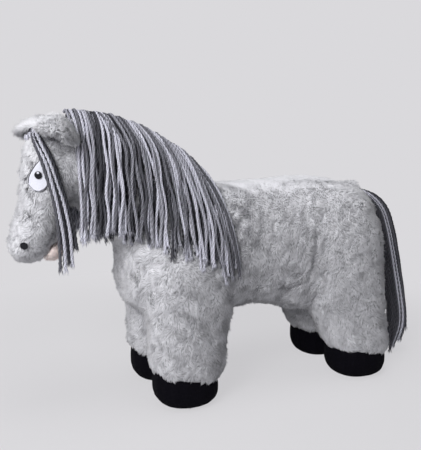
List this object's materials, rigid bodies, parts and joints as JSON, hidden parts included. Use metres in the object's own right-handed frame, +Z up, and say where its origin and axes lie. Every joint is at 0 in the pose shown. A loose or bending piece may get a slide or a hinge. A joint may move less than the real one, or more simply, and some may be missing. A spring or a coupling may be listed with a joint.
{
  "type": "plush horse",
  "caption": "Standing plush horse with short grey fur, black felt hooves, a long yarn mane, forelock and tail that lift, and soft ears that fold up",
  "frame": {"origin": "On the floor, under the middle of the whole horse from nose to tail.", "axes": "The nose points to -X, the horse's left side faces -Y and +Z is up."},
  "size_m": [0.566, 0.1786, 0.3526],
  "materials": {
    "fur": "short light grey plush pile",
    "filling": "loose white polyester fibre",
    "hoof_felt": "matt black felt",
    "ear_lining": "smooth grey satin",
    "white_felt": "matt white felt",
    "black_thread": "satin stitched black thread",
    "lip_felt": "soft dusty pink pile",
    "mane_yarn": "matt light grey and charcoal yarn",
    "tail_yarn": "matt charcoal yarn",
    "mane_tape": "grey woven tape"
  },
  "bodies": {
    "horse": {"torso_cover": "fur", "torso_filling": "filling", "neck_cover": "fur", "neck_filling": "filling", "head_cover": "fur", "head_filling": "filling", "leg_cover_front_left": "fur", "leg_cover_front_right": "fur", "leg_cover_hind_left": "fur", "leg_cover_hind_right": "fur", "leg_filling_front_left": "filling", "leg_filling_front_right": "filling", "leg_filling_hind_left": "filling", "leg_filling_hind_right": "filling", "hoof_front_left": "hoof_felt", "hoof_front_right": "hoof_felt", "hoof_hind_left": "hoof_felt", "hoof_hind_right": "hoof_felt", "eye_white_left": "white_felt", "eye_white_right": "white_felt", "pupil_left": "black_thread", "pupil_right": "black_thread", "eye_glint_left": "white_felt", "eye_glint_right": "white_felt", "nostril_left": "black_thread", "nostril_right": "black_thread", "lower_lip": "lip_felt", "mane_tape": "mane_tape", "mane_ridge": "mane_yarn", "forelock_ridge": "mane_yarn", "tail_stub": "fur"},
    "ear_left": {"ear_left": "fur", "ear_lining_left": "ear_lining"},
    "ear_right": {"ear_right": "fur", "ear_lining_right": "ear_lining"},
    "forelock_left": {"forelock_left": "mane_yarn"},
    "forelock_right": {"forelock_right": "mane_yarn"},
    "mane_left_1": {"mane_lock_left_1": "mane_yarn"},
    "mane_left_2": {"mane_lock_left_2": "mane_yarn"},
    "mane_left_3": {"mane_lock_left_3": "mane_yarn"},
    "mane_left_4": {"mane_lock_left_4": "mane_yarn"},
    "mane_left_5": {"mane_lock_left_5": "mane_yarn"},
    "mane_left_6": {"mane_lock_left_6": "mane_yarn"},
    "mane_right_1": {"mane_lock_right_1": "mane_yarn"},
    "mane_right_2": {"mane_lock_right_2": "mane_yarn"},
    "mane_right_3": {"mane_lock_right_3": "mane_yarn"},
    "mane_right_4": {"mane_lock_right_4": "mane_yarn"},
    "mane_right_5": {"mane_lock_right_5": "mane_yarn"},
    "mane_right_6": {"mane_lock_right_6": "mane_yarn"},
    "tail_left": {"tail_lock_left": "tail_yarn"},
    "tail_centre": {"tail_lock_centre": "tail_yarn"},
    "tail_right": {"tail_lock_right": "tail_yarn"}
  },
  "joints": [
    {"name": "ear_left_fold", "type": "hinge", "parent": "horse", "child": "ear_left", "pos_m": [-0.228, -0.01431, 0.33953], "axis": [-1, 0, 0], "range_deg": [0, 50], "stiffness_Nm_per_rad": 0.002},
    {"name": "ear_right_fold", "type": "hinge", "parent": "horse", "child": "ear_right", "pos_m": [-0.221, 0.01039, 0.33953], "axis": [1, 0, 0], "range_deg": [0, 50], "stiffness_Nm_per_rad": 0.002},
    {"name": "forelock_left_lift", "type": "hinge", "parent": "horse", "child": "forelock_left", "pos_m": [-0.25354, -0.00944, 0.32769], "axis": [-0.8092, 0.0995, -0.579], "range_deg": [0, 30]},
    {"name": "forelock_right_lift", "type": "hinge", "parent": "horse", "child": "forelock_right", "pos_m": [-0.25353, 0.00944, 0.32768], "axis": [0.8106, 0.0991, 0.5771], "range_deg": [0, 8]},
    {"name": "mane_left_1_lift", "type": "hinge", "parent": "horse", "child": "mane_left_1", "pos_m": [-0.19017, -0.01037, 0.34692], "axis": [-0.9952, 0, 0.0979], "range_deg": [0, 90]},
    {"name": "mane_left_2_lift", "type": "hinge", "parent": "horse", "child": "mane_left_2", "pos_m": [-0.1625, -0.01037, 0.3442], "axis": [-0.9768, 0, 0.214], "range_deg": [0, 90]},
    {"name": "mane_left_3_lift", "type": "hinge", "parent": "horse", "child": "mane_left_3", "pos_m": [-0.13483, -0.01037, 0.33468], "axis": [-0.9445, 0, 0.3284], "range_deg": [0, 90]},
    {"name": "mane_left_4_lift", "type": "hinge", "parent": "horse", "child": "mane_left_4", "pos_m": [-0.10717, -0.01037, 0.3218], "axis": [-0.8586, 0, 0.5126], "range_deg": [0, 90]},
    {"name": "mane_left_5_lift", "type": "hinge", "parent": "horse", "child": "mane_left_5", "pos_m": [-0.0795, -0.01037, 0.30528], "axis": [-0.8152, 0, 0.5792], "range_deg": [0, 90]},
    {"name": "mane_left_6_lift", "type": "hinge", "parent": "horse", "child": "mane_left_6", "pos_m": [-0.05183, -0.01037, 0.28214], "axis": [-0.7632, 0, 0.6462], "range_deg": [0, 90]},
    {"name": "mane_right_1_lift", "type": "hinge", "parent": "horse", "child": "mane_right_1", "pos_m": [-0.19017, 0.01037, 0.34692], "axis": [0.9952, 0, -0.0979], "range_deg": [0, 90]},
    {"name": "mane_right_2_lift", "type": "hinge", "parent": "horse", "child": "mane_right_2", "pos_m": [-0.1625, 0.01037, 0.3442], "axis": [0.9768, 0, -0.214], "range_deg": [0, 90]},
    {"name": "mane_right_3_lift", "type": "hinge", "parent": "horse", "child": "mane_right_3", "pos_m": [-0.13483, 0.01037, 0.33468], "axis": [0.9445, 0, -0.3284], "range_deg": [0, 90]},
    {"name": "mane_right_4_lift", "type": "hinge", "parent": "horse", "child": "mane_right_4", "pos_m": [-0.10717, 0.01037, 0.3218], "axis": [0.8586, 0, -0.5126], "range_deg": [0, 90]},
    {"name": "mane_right_5_lift", "type": "hinge", "parent": "horse", "child": "mane_right_5", "pos_m": [-0.0795, 0.01037, 0.30528], "axis": [0.8152, 0, -0.5792], "range_deg": [0, 90]},
    {"name": "mane_right_6_lift", "type": "hinge", "parent": "horse", "child": "mane_right_6", "pos_m": [-0.05183, 0.01037, 0.28214], "axis": [0.7632, 0, -0.6462], "range_deg": [0, 90]},
    {"name": "tail_left_lift", "type": "hinge", "parent": "horse", "child": "tail_left", "pos_m": [0.19476, -0.01067, 0.246], "axis": [0, -1, 0], "range_deg": [0, 90]},
    {"name": "tail_centre_lift", "type": "hinge", "parent": "horse", "child": "tail_centre", "pos_m": [0.19476, 0, 0.246], "axis": [0, -1, 0], "range_deg": [0, 90]},
    {"name": "tail_right_lift", "type": "hinge", "parent": "horse", "child": "tail_right", "pos_m": [0.19476, 0.01067, 0.246], "axis": [0, -1, 0], "range_deg": [0, 90]}
  ]
}
